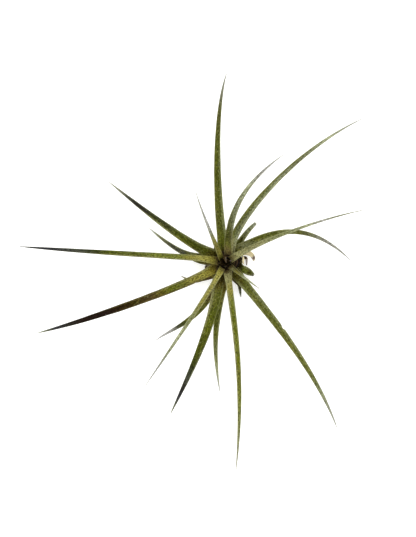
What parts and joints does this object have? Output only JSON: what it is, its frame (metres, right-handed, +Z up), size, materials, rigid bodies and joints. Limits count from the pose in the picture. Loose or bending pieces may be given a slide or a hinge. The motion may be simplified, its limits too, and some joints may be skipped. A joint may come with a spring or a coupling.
{
  "type": "air plant",
  "caption": "Loose rosette of narrow, channelled, tapering leaves on a short stem, with no pot; it rests on the stem's cut foot and the tips of its oldest leaves.",
  "frame": {"origin": "middle of the stem's cut foot, on the surface that the plant stands on", "axes": "+Z up; seen from above, +X is to the right and +Y, along the longest spread of the leaves, is up"},
  "size_m": [0.1624, 0.1892, 0.0741],
  "materials": {
    "leaf": "matt, finely speckled with pale scales; green-olive, paler at the margins, dark at the tip",
    "young_leaf": "matt, grey-brown with pale margins",
    "pale_dry_leaf": "matt, papery and cream with brown stains",
    "dark_dry_leaf": "matt, purple-brown",
    "stem": "matt, dark brown and fibrous"
  },
  "bodies": {
    "root": {"stem": "stem", "dry_sheath_west": "pale_dry_leaf", "dry_sheath_east": "pale_dry_leaf", "dry_leaf_dark": "dark_dry_leaf", "dry_leaf_curled": "pale_dry_leaf", "leaf_southwest_old": "leaf", "leaf_northeast_broken": "leaf", "leaf_south_old": "leaf", "leaf_west_old": "leaf", "leaf_southeast_broken": "leaf", "leaf_northwest_old": "leaf", "leaf_southwest_back": "leaf", "leaf_east_arching": "leaf", "leaf_northwest": "leaf", "leaf_south_back": "leaf", "leaf_north": "leaf", "leaf_southeast": "leaf", "leaf_southsouthwest": "leaf", "leaf_westsouthwest": "leaf", "leaf_northeast": "leaf", "leaf_west": "leaf", "leaf_south": "leaf", "leaf_northnortheast": "leaf", "leaf_southwest": "leaf", "leaf_east": "leaf", "leaf_northnorthwest": "leaf", "leaf_southeast_inner": "leaf", "leaf_young_west": "young_leaf", "leaf_young_north": "young_leaf", "leaf_young_south": "young_leaf", "leaf_young_east": "young_leaf"}
  },
  "joints": []
}
